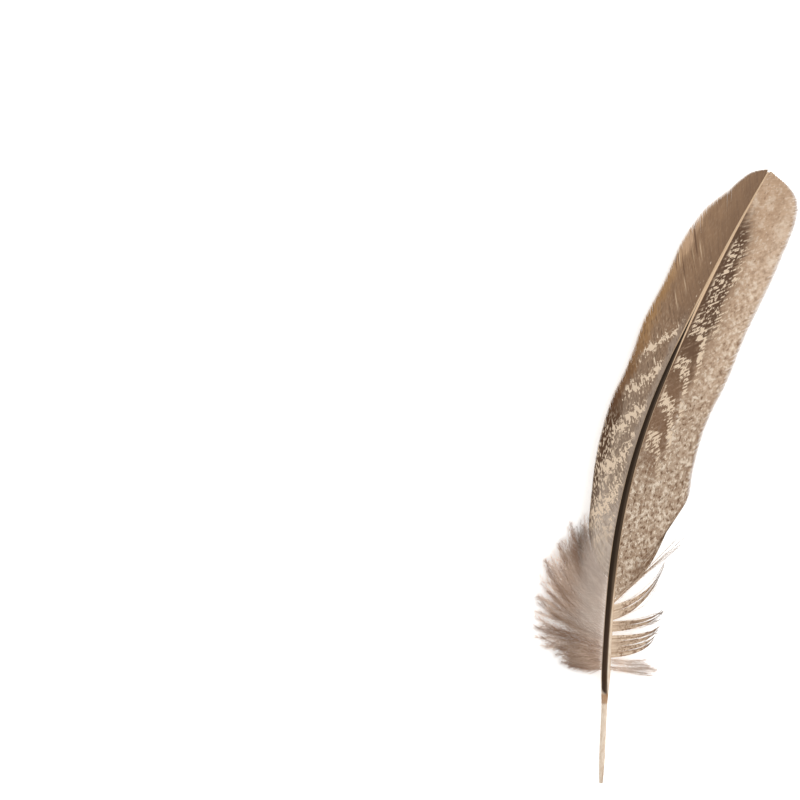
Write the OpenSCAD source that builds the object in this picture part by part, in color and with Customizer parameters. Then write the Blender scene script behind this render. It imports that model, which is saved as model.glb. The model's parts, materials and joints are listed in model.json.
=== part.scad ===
// Natural wing feather with an uncut quill, lying with its back up.
// It rests on the quill's tip and on the far end of its vanes, and arches up between them.
// Lengths are millimetres and angles are degrees. Places along the shaft are measured from the
// top of the bare quill, so the quill is at negative places and the vanes at positive ones.

/* [Shaft] */
// Length of the bare quill below the vanes
quill_len = 33; // [28:1:40]
// Length of the shaft that carries the vanes
vane_len = 157; // [140:1:175]
// Radius of the quill's straight barrel
barrel_r = 0.85; // [0.8:0.05:0.95]
// Radius of the quill at its tip
tip_r = 0.5; // [0.45:0.05:0.6]
// Half width of the shaft where the vanes begin
shaft_r = 1.4; // [1.3:0.05:1.6]
// Half width of the shaft at the feather's far end
shaft_end_r = 0.2; // [0.15:0.05:0.3]
// Wall thickness of the quill
quill_wall = 0.22; // [0.18:0.02:0.26]

/* [Curves] */
// Sideways bend of the shaft's lower stretch
lower_bend = 2.5; // [0:0.5:6]
// Sideways bend of the shaft's middle stretch
middle_bend = 19; // [10:0.5:22]
// Sideways bend of the shaft's upper stretch
upper_bend = 7.5; // [4:0.5:12]
// Slope at which the quill rises from its tip
rise = 7; // [5:0.5:9]

/* [Vanes] */
// Widest reach of the narrow leading vane from the shaft
leading_w = 12.3; // [10:0.1:14]
// Widest reach of the broad trailing vane from the shaft
trailing_w = 18.3; // [15:0.1:21]
// Widest reach of the down from the shaft
down_w = 21.9; // [18:0.1:22]
// Thickness of the vanes
vane_t = 0.36; // [0.3:0.02:0.4]
// Thickness of the down at the foot of the vanes
down_t = 1.8; // [1.2:0.1:2]
// Share of its height that a vane or the down loses at camber_reach from the shaft
camber = 0.85; // [0.6:0.05:0.85]

/* [Inside] */
// Number of dried pulp caps in the quill
cap_count = 9; // [5:1:12]

/* [Hidden] */
$fn = 48;

LEADING = -1;
TRAILING = 1;

// Outlines of the vanes and the down, one row for each barb that is named: where the barb leaves
// the shaft and where it ends, as shares of vane_len, and how far out it ends, as a share of the
// vane's or the down's widest reach
LEADING_BARBS = [
    [0.178, 0.274, 0.73], [0.229, 0.325, 0.80], [0.299, 0.395, 0.91], [0.382, 0.490, 0.97],
    [0.459, 0.564, 0.92], [0.541, 0.650, 1.00], [0.624, 0.732, 0.96], [0.713, 0.818, 1.00],
    [0.777, 0.879, 0.89], [0.841, 0.927, 0.64], [0.904, 0.962, 0.48], [0.955, 0.987, 0.31],
    [0.985, 1.001, 0.10], [0.996, 1.004, 0.035]
];
TRAILING_BARBS = [
    [0.140, 0.292, 0.79], [0.150, 0.312, 0.83], [0.205, 0.350, 1.00], [0.287, 0.420, 0.965],
    [0.382, 0.516, 0.93], [0.478, 0.611, 0.97], [0.573, 0.707, 0.925], [0.669, 0.803, 0.915],
    [0.764, 0.885, 0.86], [0.841, 0.943, 0.79], [0.904, 0.978, 0.66], [0.949, 0.992, 0.50],
    [0.978, 0.999, 0.30], [0.992, 1.002, 0.12], [0.998, 1.004, 0.03]
];
LEADING_DOWN_BARBS = [
    [0.004, 0.012, 0.87], [0.030, 0.070, 0.97], [0.060, 0.150, 1.00], [0.100, 0.225, 0.84],
    [0.135, 0.262, 0.65], [0.160, 0.275, 0.52], [0.174, 0.266, 0.40]
];
// Places along the shaft where the webs part, as shares of vane_len
LEADING_SPLITS = [0.178, 0.395, 0.580, 0.800, 0.996];
TRAILING_SPLITS = [0.140, 0.370, 0.600, 0.820, 0.998];
LEADING_DOWN_SPLITS = [0.004, 0.060, 0.115, 0.174];
// First and last barb of each loose tuft, whose barbs run together at its tip
TUFTS = [
    [[0.131, 0.280, 1.13], [0.138, 0.284, 1.14]],
    [[0.099, 0.213, 0.82], [0.128, 0.218, 0.83]],
    [[0.077, 0.122, 0.87], [0.097, 0.126, 0.87]],
    [[0.028, 0.070, 0.76], [0.070, 0.098, 0.86]]
];
TUFT_CURLS = [0.1, 1, 1, 1];
TRAILING_DOWN_BARBS = [[0.004, -0.002, 0.80], [0.026, 0.016, 0.84]];

camber_reach = 22;      // distance from the shaft at which the camber is measured
gap = 0.12;             // free space between neighbouring webs, along the shaft
table_gap = 0.32;       // height of the vanes' middle surface where they touch the table
end_z = 0.5;            // height of the shaft's axis at the feather's far end
attach_share = 0.35;    // height of the barbs' roots above the shaft's axis, in half widths
attach_reach = 0.92;    // distance of the barbs' roots from the shaft's axis, in half widths
groove_depth = 0.42;    // depth of the groove under the shaft, in half widths
groove_start = 10;      // length over which that groove deepens
groove_power = 6;       // how sharply that groove's sides fall
pith_share = 0.74;      // size of the pith, as a share of the shaft's section
cortex_share = 0.76;    // size of the cortex's hollow, as a share of the shaft's section
pith_end = 0.93;        // share of vane_len where the pith ends
cap_gap = 0.03;         // clearance between the pulp caps and the quill's wall
cap_t = 0.12;           // thickness of a pulp cap
thread_r = 0.12;        // radius of the dried thread that joins the caps
plug_len = 1.6;         // length of the dried plug in the quill's tip
barrel_start = 9;       // distance from the tip to the straight barrel
barrel_len = 13;        // length of the straight barrel
pore_r = 0.3;           // radius of the pore under the quill's top

shaft_rings = 44;
ring_sides = 20;
web_rows = 10;
web_cols = 8;

// Direction of the shaft at the ends of its three arcs: place on the shaft, angle from +Y
ARC_ENDS = [
    [0, 0],
    [0.16 * vane_len, lower_bend],
    [0.56 * vane_len, lower_bend + middle_bend],
    [vane_len, lower_bend + middle_bend + upper_bend]
];

quill_axis_len = quill_len / cos(rise);
quill_top_z = tip_r * cos(rise) + quill_len * tan(rise);
sag = (quill_top_z + vane_len * tan(rise) - end_z) / pow(vane_len, 2);

function mix(a, b, t) = a + (b - a) * t;

// Direction of the shaft seen from above, turning from +Y towards +X
function heading(s) = lookup(s, ARC_ENDS);

// Straight line between two places of one arc
function chord(from, to) =
    let (half_turn = (heading(to) - heading(from)) / 2, middle = (heading(to) + heading(from)) / 2)
    (to - from) * (half_turn == 0 ? 1 : sin(half_turn) / (half_turn * PI / 180))
        * [sin(middle), cos(middle)];

// Place of the shaft seen from above: a straight quill, then the three arcs
function plan(s, arc = 0) =
    arc == 0 && s <= 0 ? [0, s] :
    let (from = ARC_ENDS[arc][0], to = arc == 2 ? s : min(s, ARC_ENDS[arc + 1][0]))
    chord(from, to) + (to < s ? plan(s, arc + 1) : [0, 0]);

// Slope of the shaft and height of its axis: a straight quill, then a shallow arch
function slope(s) = atan(tan(rise) - 2 * sag * max(s, 0));
function height(s) = quill_top_z + s * tan(rise) - sag * pow(max(s, 0), 2);

function axis_point(s) = [plan(s)[0], plan(s)[1], height(s)];
function rightward(s) = [cos(heading(s)), -sin(heading(s)), 0];
function upward(s) =
    [-sin(heading(s)) * sin(slope(s)), -cos(heading(s)) * sin(slope(s)), cos(slope(s))];

function half_width(s) = shaft_r - (shaft_r - shaft_end_r) * pow(max(s, 0) / vane_len, 1.4);

// Height of a vane's middle surface at a distance n from the shaft
function vane_height(s, n) =
    let (root = height(min(s, vane_len)) + attach_share * half_width(min(s, vane_len)))
    table_gap + (root - table_gap) * (1 - camber * pow(n / camber_reach, 2));

function vane_point(side, s, n, offset) =
    let (flat = plan(s) + side * n * [cos(heading(s)), -sin(heading(s))])
    [flat[0], flat[1], vane_height(s, n) + offset];

// A barb leaves the shaft sideways and bends forward; low barbs bend most, and with a curl of 0
// it is straight
function barb_point(side, root, end, reach, t, offset, curl = 1) =
    let (
        n0 = attach_reach * half_width(root * vane_len),
        low = max(0, 1 - root / 0.4),
        bend_s = mix(0.5, mix(0.46, 0.14, low), curl),
        bend_n = mix(0.5, mix(0.54, 0.91, low), curl),
        s = vane_len * (root + (end - root) * (2 * bend_s * t * (1 - t) + t * t)),
        n = n0 + (reach - n0) * (2 * bend_n * t * (1 - t) + t * t)
    )
    vane_point(side, s, n, offset);

function column(rows, from, to) = [for (row = rows) [row[from], row[to]]];

// Grid of points on one surface of a web that lies between two splits
function web_points(side, rows, splits, index, width, offset, curl = 1) =
    let (
        half_gap = gap / 2 / vane_len,
        from = splits[index] + half_gap,
        to = splits[index + 1] - half_gap,
        ends = column(rows, 0, 1),
        reaches = column(rows, 0, 2)
    )
    [for (i = [0:web_rows], j = [0:web_cols])
        let (root = mix(from, to, i / web_rows))
        barb_point(side, root, lookup(root, ends), width * lookup(root, reaches),
            j / web_cols, offset, curl)];

function flipped(faces) = [for (face = faces) [face[2], face[1], face[0]]];

// Triangles of a closed slab whose top grid comes first in the list of points
function slab_faces(rows, cols) =
    let (
        row = cols + 1,
        below = (rows + 1) * row,
        top = [for (i = [0:rows - 1], j = [0:cols - 1]) let (a = i * row + j)
            each [[a, a + row, a + 1], [a + 1, a + row, a + row + 1]]],
        bottom = [for (face = top) [face[0], face[2], face[1]] + [below, below, below]],
        rim = concat(
            [for (j = [0:cols]) j],
            [for (i = [1:rows]) i * row + cols],
            [for (j = [cols - 1:-1:0]) rows * row + j],
            [for (i = [rows - 1:-1:1]) i * row]
        ),
        wall = [for (k = [0:len(rim) - 1])
            let (a = rim[k], b = rim[(k + 1) % len(rim)])
            each [[a, b, a + below], [b, b + below, a + below]]]
    )
    concat(top, bottom, wall);

module slab(side, top, bottom) {
    faces = slab_faces(web_rows, web_cols);
    polyhedron(concat(top, bottom), side == TRAILING ? faces : flipped(faces), 4);
}

module web(side, rows, splits, index, width, thickness, curl = 1) {
    slab(side,
        web_points(side, rows, splits, index, width, thickness / 2, curl),
        web_points(side, rows, splits, index, width, -thickness / 2, curl));
}

// Bunch of loose barbs on the trailing side, which fills its named barbs from first to last
module tuft(rows, curl) {
    web(TRAILING, rows, [rows[0][0], rows[1][0]], 0, trailing_w, vane_t, curl);
}

module leading_web(index) {
    color("#8f7460") web(LEADING, LEADING_BARBS, LEADING_SPLITS, index, leading_w, vane_t);
}

module leading_down(index) {
    color("#b5a192") web(LEADING, LEADING_DOWN_BARBS, LEADING_DOWN_SPLITS, index, down_w, down_t);
}

module trailing_web(index) {
    color("#bda68c") web(TRAILING, TRAILING_BARBS, TRAILING_SPLITS, index, trailing_w, vane_t);
}

module barb_tuft(index) {
    color("#c9b49c") tuft(TUFTS[index], TUFT_CURLS[index]);
}

module trailing_down() {
    color("#d3c4b4") tuft(TRAILING_DOWN_BARBS, 1);
}

// One ring of the shaft's section, grooved below, at a share of its full size
function shaft_ring(s, share) =
    let (r = half_width(s) * share, deep = groove_depth * min(1, s / groove_start))
    [for (k = [0:ring_sides - 1])
        let (
            a = 360 * k / ring_sides,
            notch = 1 - deep * pow(max(0, -sin(a)), groove_power)
        )
        axis_point(s) + r * cos(a) * notch * rightward(s) + r * sin(a) * notch * upward(s)];

function ring_walls(first, count) = [
    for (i = [0:count - 1], k = [0:ring_sides - 1])
        let (
            a = first + i * ring_sides + k,
            b = first + i * ring_sides + (k + 1) % ring_sides
        )
        each [[a, a + ring_sides, b], [b, a + ring_sides, b + ring_sides]]
];

function end_cap(first) = [for (k = [1:ring_sides - 2]) [first, first + k, first + k + 1]];

function rings(share, last) = [
    for (i = [0:shaft_rings]) each shaft_ring(vane_len * last * i / shaft_rings, share)
];

// Horny outer tube of the shaft, closed at the far end
module shaft_cortex() {
    inner = (shaft_rings + 1) * ring_sides;
    mouth = [for (k = [0:ring_sides - 1])
        let (next = (k + 1) % ring_sides)
        each [[k, next, inner + k], [next, inner + next, inner + k]]];
    color("#54402f")
    polyhedron(concat(rings(1, 1), rings(cortex_share, pith_end)), concat(
        ring_walls(0, shaft_rings),
        flipped(end_cap(inner - ring_sides)),
        flipped(ring_walls(inner, shaft_rings)),
        end_cap(2 * inner - ring_sides),
        mouth
    ), 4);
}

// Light spongy core that fills the cortex
module shaft_pith() {
    last = shaft_rings * ring_sides;
    color("#efe6d6")
    polyhedron(rings(pith_share, pith_end), concat(
        end_cap(0), ring_walls(0, shaft_rings), flipped(end_cap(last))
    ), 4);
}

// Sets its children, drawn along +Z from the quill's tip, along the quill's axis
module along_quill() {
    translate(axis_point(-quill_len)) rotate([rise - 90, 0, 0]) children();
}

// Outline of the quill from tip to top: a tapered root, a straight barrel and a flared top
function quill_radius(z) = lookup(z, [
    [0, tip_r], [barrel_start, barrel_r], [barrel_start + barrel_len, barrel_r],
    [quill_axis_len, shaft_r]
]);

module quill_tube() {
    stations = [0, barrel_start, barrel_start + barrel_len, quill_axis_len];
    color("#e8dcc6")
    along_quill() difference() {
        rotate_extrude() polygon(concat(
            [for (z = stations) [quill_radius(z), z]],
            [for (i = [3:-1:0]) [quill_radius(stations[i]) - quill_wall, stations[i]]]
        ));
        translate([0, 0, quill_axis_len - 2 * shaft_r])
            rotate([-90, 0, 0]) cylinder(h = 2 * shaft_r, r = pore_r);
    }
}

// Dried plug that closes the opening at the quill's tip
module tip_plug() {
    color("#a58a6a")
    along_quill() rotate_extrude() polygon([
        [0, 0], [tip_r - quill_wall - cap_gap, 0],
        [quill_radius(plug_len) - quill_wall - cap_gap, plug_len], [0, plug_len]
    ]);
}

// Chain of thin cups that the shrinking pulp left inside the quill
module pulp_caps() {
    first = plug_len + 1;
    last = quill_axis_len - 3 * shaft_r;
    color("#cbb894")
    along_quill() {
        translate([0, 0, first]) cylinder(h = last - first, r = thread_r);
        for (i = [0:cap_count - 1]) {
            z = mix(first + 1, last - 1, i / (cap_count - 1));
            rim = quill_radius(z) - quill_wall - cap_gap;
            rotate_extrude() polygon([
                [0, z], [rim, z - rim], [rim, z - rim + cap_t], [0, z + cap_t]
            ]);
        }
    }
}

// Points of the vanes, the down and the quill's tip, which set the middle of the whole feather
edge_points = concat(
    [for (i = [0:3]) each web_points(LEADING, LEADING_BARBS, LEADING_SPLITS, i, leading_w, 0)],
    [for (i = [0:3]) each web_points(TRAILING, TRAILING_BARBS, TRAILING_SPLITS, i, trailing_w, 0)],
    [for (i = [0:2])
        each web_points(LEADING, LEADING_DOWN_BARBS, LEADING_DOWN_SPLITS, i, down_w, 0)],
    [axis_point(-quill_len) - [0, tip_r * sin(rise), 0]]
);
edge_x = [for (p = edge_points) p[0]];
edge_y = [for (p = edge_points) p[1]];
centre = [(min(edge_x) + max(edge_x)) / 2, (min(edge_y) + max(edge_y)) / 2, 0];

translate(-centre) {
    quill_tube();
    tip_plug();
    pulp_caps();
    shaft_cortex();
    shaft_pith();
    leading_web(3);  // leading_web_tip
    leading_web(2);  // leading_web_upper
    leading_web(1);  // leading_web_middle
    leading_web(0);  // leading_web_lower
    leading_down(2);  // leading_down_upper
    leading_down(1);  // leading_down_middle
    leading_down(0);  // leading_down_lower
    trailing_web(3);  // trailing_web_tip
    trailing_web(2);  // trailing_web_upper
    trailing_web(1);  // trailing_web_middle
    trailing_web(0);  // trailing_web_lower
    barb_tuft(0);  // barb_tuft_1
    barb_tuft(1);  // barb_tuft_2
    barb_tuft(2);  // barb_tuft_3
    barb_tuft(3);  // barb_tuft_4
    trailing_down();
}
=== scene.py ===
"""A natural wing feather with an uncut quill. It lies on a pale floor with its back up.

Lengths are in millimetres and angles in degrees until a mesh is made, which is in metres.
A place on the feather is (s, n): s runs along the shaft from the top of the bare quill, and n runs
out from the shaft, towards the margin of the vane.
"""

import json
import math

import bmesh
import bpy
import numpy as np
from mathutils import Matrix, Vector


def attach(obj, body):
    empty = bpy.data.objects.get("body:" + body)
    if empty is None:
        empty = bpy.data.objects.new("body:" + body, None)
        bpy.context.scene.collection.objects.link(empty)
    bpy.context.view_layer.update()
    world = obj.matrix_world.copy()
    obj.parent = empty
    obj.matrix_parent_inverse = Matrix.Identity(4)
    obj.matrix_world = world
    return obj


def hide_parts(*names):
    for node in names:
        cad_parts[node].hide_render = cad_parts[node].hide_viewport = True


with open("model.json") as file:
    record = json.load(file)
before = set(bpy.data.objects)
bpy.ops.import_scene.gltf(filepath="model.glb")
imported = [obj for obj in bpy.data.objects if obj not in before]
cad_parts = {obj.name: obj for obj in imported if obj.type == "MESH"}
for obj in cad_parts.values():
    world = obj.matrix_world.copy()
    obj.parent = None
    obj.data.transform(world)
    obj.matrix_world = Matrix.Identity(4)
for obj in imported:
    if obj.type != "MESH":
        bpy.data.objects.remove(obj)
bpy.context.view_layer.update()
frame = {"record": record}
rng = np.random.default_rng(11)

# ---------------------------------------------------------------- driving dimensions, as in CAD
QUILL_LEN = 33.0
VANE_LEN = 157.0
BARREL_R = 0.85
TIP_R = 0.5
SHAFT_R = 1.4
SHAFT_END_R = 0.2
QUILL_WALL = 0.22
BARREL_START = 9.0
BARREL_LEN = 13.0
RISE = 7.0
ARC_ENDS = (0.0, 0.16 * VANE_LEN, 0.56 * VANE_LEN, VANE_LEN)
ARC_HEADINGS = (0.0, 2.5, 21.5, 29.0)
LEADING_W = 12.3
TRAILING_W = 18.3
DOWN_W = 21.9
CAMBER = 0.85
CAMBER_REACH = 22.0
TABLE_GAP = 0.32
END_Z = 0.5
ATTACH_SHARE = 0.35
ATTACH_REACH = 0.92
GROOVE_DEPTH = 0.42
GROOVE_START = 10.0
GROOVE_POWER = 6
CORTEX_SHARE = 0.76
PITH_END = 0.93
SHAFT_POWER = 1.4
LOW_SHARE = 0.4
HIGH_BENDS = (0.46, 0.54)
LOW_BENDS = (0.14, 0.91)

LEADING = -1
TRAILING = 1

# Named barbs: where each leaves the shaft and ends, as shares of VANE_LEN, and how far out it ends
LEADING_BARBS = (
    (0.178, 0.274, 0.73), (0.229, 0.325, 0.80), (0.299, 0.395, 0.91), (0.382, 0.490, 0.97),
    (0.459, 0.564, 0.92), (0.541, 0.650, 1.00), (0.624, 0.732, 0.96), (0.713, 0.818, 1.00),
    (0.777, 0.879, 0.89), (0.841, 0.927, 0.64), (0.904, 0.962, 0.48), (0.955, 0.987, 0.31),
    (0.985, 1.001, 0.10), (0.996, 1.004, 0.035),
)
TRAILING_BARBS = (
    (0.140, 0.292, 0.79), (0.150, 0.312, 0.83), (0.205, 0.350, 1.00), (0.287, 0.420, 0.965),
    (0.382, 0.516, 0.93), (0.478, 0.611, 0.97), (0.573, 0.707, 0.925), (0.669, 0.803, 0.915),
    (0.764, 0.885, 0.86), (0.841, 0.943, 0.79), (0.904, 0.978, 0.66), (0.949, 0.992, 0.50),
    (0.978, 0.999, 0.30), (0.992, 1.002, 0.12), (0.998, 1.004, 0.03),
)
LEADING_DOWN_BARBS = (
    (0.004, 0.012, 0.87), (0.030, 0.070, 0.97), (0.060, 0.150, 1.00), (0.100, 0.225, 0.84),
    (0.135, 0.262, 0.65), (0.160, 0.275, 0.52), (0.174, 0.266, 0.40),
)
TRAILING_DOWN_BARBS = ((0.004, -0.002, 0.80), (0.026, 0.016, 0.84))
TUFTS = (
    ((0.131, 0.280, 1.13), (0.138, 0.284, 1.14)),
    ((0.099, 0.213, 0.82), (0.128, 0.218, 0.83)),
    ((0.077, 0.122, 0.87), (0.097, 0.126, 0.87)),
    ((0.028, 0.070, 0.76), (0.070, 0.098, 0.86)),
)
TUFT_CURLS = (0.1, 1.0, 1.0, 1.0)
TUFT_CLUMPS = (1, 2, 2, 4)

# Where the sections of the vanes and of the leading down part, as shares of VANE_LEN
LEADING_SPLITS = (0.178, 0.395, 0.580, 0.800, 0.996)
TRAILING_SPLITS = (0.140, 0.370, 0.600, 0.820, 0.998)
LEADING_DOWN_SPLITS = (0.004, 0.060, 0.115, 0.174)
SECTION_NAMES = ("lower", "middle", "upper", "tip")

# Places where barbs have come unzipped: the root of the first barb that slipped and the stretch over
# which the slip dies out, as shares of VANE_LEN, and how far that barb's end moves along the feather
# and rises, in mm
LEADING_SLIPS = ((0.735, 0.06, -1.4, 0.30), (0.47, 0.05, -1.1, 0.25), (0.845, 0.03, -0.8, 0.2))
TRAILING_SLIPS = ((0.62, 0.04, -0.6, 0.2),)

# For each section of the leading down: radius and droop of its barbs in mm, their curl, and the
# share of their length that the lowest barbs lose
LEADING_DOWN = (
    ("lower", 0.06, 2.6, 0.2, 0.62), ("middle", 0.07, 1.5, 0.4, 0.0), ("upper", 0.10, 0.0, 0.8, 0.0),
)
# Shares of the trailing down's stretch of shaft that carry barbs
TRAILING_DOWN_STRETCHES = ((0.0, 0.35), (0.55, 1.0))

# ---------------------------------------------------------------- shape of the feather

STATION_STEP = 0.05
STATIONS = np.arange(0.0, VANE_LEN + 8.0, STATION_STEP)


def track():
    """x and y of the shaft at each station, from the quill's top."""
    turn = np.radians(np.interp(STATIONS, ARC_ENDS, ARC_HEADINGS))
    middle = (turn[1:] + turn[:-1]) / 2
    step = np.diff(STATIONS)
    x = np.concatenate(([0.0], np.cumsum(np.sin(middle) * step)))
    y = np.concatenate(([0.0], np.cumsum(np.cos(middle) * step)))
    return x, y


TRACK_X, TRACK_Y = track()
QUILL_TOP_Z = TIP_R * math.cos(math.radians(RISE)) + QUILL_LEN * math.tan(math.radians(RISE))
SAG = (QUILL_TOP_Z + VANE_LEN * math.tan(math.radians(RISE)) - END_Z) / VANE_LEN**2


def quill_top():
    """Place of the quill's top seen from above, worked out from the mount on its barrel."""
    mount = next(m for m in frame["record"]["mounts"] if m["name"] == "quill_barrel")
    pos, axis = np.array(mount["pos_m"]), np.array(mount["axis"])
    tip = 1000 * pos + axis * (BARREL_START + BARREL_LEN / 2)
    return tip[0], tip[1] + QUILL_LEN


TOP_X, TOP_Y = quill_top()


def heading(s):
    """Angle of the shaft seen from above, clockwise from the quill's direction, in radians."""
    return np.radians(np.interp(s, ARC_ENDS, ARC_HEADINGS))


def shaft_height(s):
    """Height of the shaft's middle line: a straight quill and then a shallow arch."""
    return QUILL_TOP_Z + s * math.tan(math.radians(RISE)) - SAG * np.maximum(s, 0) ** 2


def half_width(s):
    return SHAFT_R - (SHAFT_R - SHAFT_END_R) * (np.clip(s, 0, VANE_LEN) / VANE_LEN) ** SHAFT_POWER


def vane_height(s, n):
    """Height of the vanes, which leave the shaft's upper half and sink towards the table."""
    inner = np.minimum(s, VANE_LEN)
    root = shaft_height(inner) + ATTACH_SHARE * half_width(inner)
    return TABLE_GAP + (root - TABLE_GAP) * (1 - CAMBER * (n / CAMBER_REACH) ** 2)


def place(side, s, n, z):
    """Point of the frame for a place on the feather and a height."""
    turn = heading(s)
    x = np.interp(s, STATIONS, TRACK_X) + side * n * np.cos(turn)
    y = np.where(s < 0, s, np.interp(s, STATIONS, TRACK_Y)) - side * n * np.sin(turn)
    return np.stack([x + TOP_X, y + TOP_Y, z + 0 * x], -1)


def smooth_rows(rows, roots):
    """End and reach of the barbs at some roots, on smooth curves through the named barbs."""
    table = np.array(rows)
    x = table[:, 0]
    out = []
    k = np.clip(np.searchsorted(x, roots, side="right") - 1, 0, len(x) - 2)
    width = x[k + 1] - x[k]
    t = np.clip((roots - x[k]) / width, 0, 1)
    for column in (1, 2):
        y = table[:, column]
        slope = np.gradient(y, x)
        out.append(
            (2 * t**3 - 3 * t**2 + 1) * y[k] + (t**3 - 2 * t**2 + t) * width * slope[k]
            + (3 * t**2 - 2 * t**3) * y[k + 1] + (t**3 - t**2) * width * slope[k + 1]
        )
    return out


def barb_path(rows, width, roots, t, curl=1.0):
    """(s, n) along barbs: roots has one row for each barb and t has one column for each ring.
    A barb leaves the shaft sideways and bends forward. Low barbs bend most, and with a curl of 0
    every barb is straight."""
    end, reach = smooth_rows(rows, roots)
    n0 = ATTACH_REACH * half_width(roots * VANE_LEN)
    low = np.clip(1 - roots / LOW_SHARE, 0, 1)
    bend_s, bend_n = (
        0.5 + curl * (high_bend + (low_bend - high_bend) * low - 0.5)
        for high_bend, low_bend in zip(HIGH_BENDS, LOW_BENDS)
    )
    s = VANE_LEN * (roots + (end - roots) * (2 * bend_s * t * (1 - t) + t * t))
    n = n0 + (width * reach - n0) * (2 * bend_n * t * (1 - t) + t * t)
    return s, n


# ---------------------------------------------------------------- meshes

RINGS_PER_BARB = 18
LAP = 0.16               # share of a barb's width that lies over the next barb
RIDGE = 0.07             # height of a barb's ridge above its edges
KEEL = 0.15              # depth of a barb below its edges, at its root
EDGE_T = 0.025           # thickness of a barb's edges
SHINGLE = 0.03           # height of a barb's far edge above its near edge
END_WIDTH = 0.25         # width of a barb's end, as a share of its full width
END_BODY = 0.35          # ridge and keel at a barb's end, as a share of those at its root
UNDER = 2.0              # added to the third value of a place on a barb's underside
BARB_SPACING = 0.6       # distance between the roots of a vane's barbs
FLUFF_RINGS = 26         # rings of a loose downy barb
BARBULE_R = 0.027        # radius of a barbule at its root
BARBULE_STEPS = (0.0, 0.35, 0.7, 1.0)    # a barbule's rings, as shares of its length
FLOOR_GAP = 0.06         # least height of a barbule's middle line above the floor
STRAND_SIDES = 3
SHARP_ANGLE = 38         # faces that meet at more than this angle are shaded with an edge


def closed_mesh(name, parts, material, looped=False):
    """One object of closed tubes. Each part is (rings, place, barb): the rings' points in mm as
    (tubes, rings, sides, 3), and two values of the surface at every point, as (..., 3) too.
    A looped tube's last ring joins its first one, and any other tube has two end faces."""
    points, faces, places, barbs = [], [], [], []
    start = 0
    for rings, place_values, barb_values in parts:
        tubes, count, sides = rings.shape[:3]
        index = start + np.arange(tubes * count * sides).reshape(tubes, count, sides)
        ahead = np.roll(index, -1, axis=1) if looped else index[:, 1:]
        behind = index if looped else index[:, :-1]
        quads = [behind, np.roll(behind, -1, axis=2), np.roll(ahead, -1, axis=2), ahead]
        faces += np.stack(quads, -1).reshape(-1, 4).tolist()
        if not looped:
            faces += index[:, 0, ::-1].tolist() + index[:, -1].tolist()
        points.append(rings.reshape(-1, 3))
        places.append(np.broadcast_to(place_values, rings.shape).reshape(-1, 3))
        barbs.append(np.broadcast_to(barb_values, rings.shape).reshape(-1, 3))
        start += rings[..., 0].size
    mesh = bpy.data.meshes.new(name)
    mesh.from_pydata((np.concatenate(points) / 1000).tolist(), [], faces)
    for label, values in (("place", places), ("barb", barbs)):
        layer = mesh.attributes.new(label, "FLOAT_VECTOR", "POINT")
        layer.data.foreach_set("vector", np.concatenate(values).astype(np.float32).ravel())
    turned = bmesh.new()
    turned.from_mesh(mesh)
    bmesh.ops.recalc_face_normals(turned, faces=turned.faces)
    turned.to_mesh(mesh)
    turned.free()
    mesh.materials.append(material)
    mesh.shade_smooth()
    mesh.set_sharp_from_angle(angle=math.radians(SHARP_ANGLE))
    piece = bpy.data.objects.new(name, mesh)
    bpy.context.scene.collection.objects.link(piece)
    return piece


def strands(lines, radii):
    """Rings of thin tubes along lines of points, (tubes, rings, 3), with a radius for each ring."""
    ahead = np.gradient(lines, axis=1)
    ahead /= np.linalg.norm(ahead, axis=-1, keepdims=True)
    flat = np.cross(ahead, (0.0, 0.0, 1.0))
    flat /= np.linalg.norm(flat, axis=-1, keepdims=True)
    up = np.cross(flat, ahead)
    turn = 2 * np.pi * (np.arange(STRAND_SIDES) + 0.25) / STRAND_SIDES
    across = np.cos(turn)[:, None] * flat[:, :, None] + np.sin(turn)[:, None] * up[:, :, None]
    return lines[:, :, None] + radii[..., None, None] * across


def ripple(s, n):
    """Slight waves of the vanes' surface, which die out at the shaft."""
    wave = np.sin(0.31 * s + 0.5 * n) + 0.6 * np.sin(0.83 * s - 0.35 * n + 1.0)
    return 0.10 * wave * np.clip(n / 8, 0, 1)


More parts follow.
